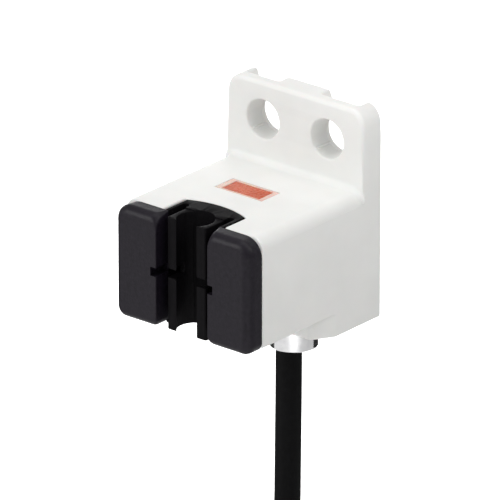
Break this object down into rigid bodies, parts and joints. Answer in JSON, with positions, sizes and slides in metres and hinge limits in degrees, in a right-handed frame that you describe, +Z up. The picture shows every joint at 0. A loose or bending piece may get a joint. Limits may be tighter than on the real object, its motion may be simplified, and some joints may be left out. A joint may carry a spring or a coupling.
{
  "type": "photoelectric sensor",
  "caption": "White block-shaped photoelectric sensor with an upright mounting plate, black arm covers, sprung jaws that hold a thin clear tube in the beam, and a cable.",
  "frame": {"origin": "on the rear mounting face, halfway between the two screw holes", "axes": "+Y out of the mounting face, towards the surface it is screwed to; the tube and the front are towards -Y; +Z up, along the tube; +X to the right seen from the front"},
  "size_m": [0.0416, 0.0215, 0.1146],
  "materials": {
    "white_body": "fine satin moulding",
    "black_cover": "fine matt texture",
    "black_insert": "satin",
    "window_rim": "clear pale pink",
    "window_lens": "clear orange-red",
    "ring_chrome": "polished",
    "grommet_rubber": "matt",
    "cable_black": "satin vinyl",
    "tie_black": "satin nylon",
    "board_green": "solder mask",
    "chip_black": "moulded epoxy",
    "component_ceramic": "fired ceramic",
    "clear_epoxy": "clear tinted epoxy",
    "tinned_metal": "bright tin",
    "insulation_brown": "satin vinyl",
    "insulation_blue": "satin vinyl",
    "insulation_black": "satin vinyl"
  },
  "bodies": {
    "sensor_body": {"housing": "white_body", "rear_cover": "white_body", "left_pad": "black_cover", "right_pad": "black_cover", "tube_saddle": "black_insert", "indicator_frame": "window_rim", "indicator_lens": "window_lens", "indicator_led": "clear_epoxy", "circuit_board": "board_green", "sensor_chip": "chip_black", "voltage_regulator": "chip_black", "output_transistor": "chip_black", "capacitor_1": "component_ceramic", "capacitor_2": "component_ceramic", "resistor_1": "chip_black", "resistor_2": "chip_black", "emitter_led": "clear_epoxy", "receiver_chip": "chip_black", "emitter_lead_1": "tinned_metal", "emitter_lead_2": "tinned_metal", "receiver_lead_1": "tinned_metal", "receiver_lead_2": "tinned_metal", "receiver_lead_3": "tinned_metal", "cable_ring": "ring_chrome", "cable_grommet": "grommet_rubber", "cable_entry_sheath": "cable_black", "inner_wire_brown": "insulation_brown", "inner_wire_blue": "insulation_blue", "inner_wire_black": "insulation_black", "cable_lead": "cable_black", "cable_coil": "cable_black", "cable_tie": "tie_black", "cable_tail": "cable_black", "conductor_brown": "insulation_brown", "conductor_blue": "insulation_blue", "conductor_black": "insulation_black", "conductor_tip_brown": "tinned_metal", "conductor_tip_blue": "tinned_metal", "conductor_tip_black": "tinned_metal"},
    "left_jaw": {"left_jaw": "black_insert"},
    "right_jaw": {"right_jaw": "black_insert"}
  },
  "joints": [
    {"name": "left_jaw_flex", "type": "hinge", "parent": "sensor_body", "child": "left_jaw", "pos_m": [-0.0021, -0.0176, -0.0114], "axis": [0, 0, -1], "range_deg": [0, 12], "stiffness_Nm_per_rad": 0.05},
    {"name": "right_jaw_flex", "type": "hinge", "parent": "sensor_body", "child": "right_jaw", "pos_m": [0.0021, -0.0176, -0.0114], "axis": [0, 0, 1], "range_deg": [0, 12], "stiffness_Nm_per_rad": 0.05}
  ]
}
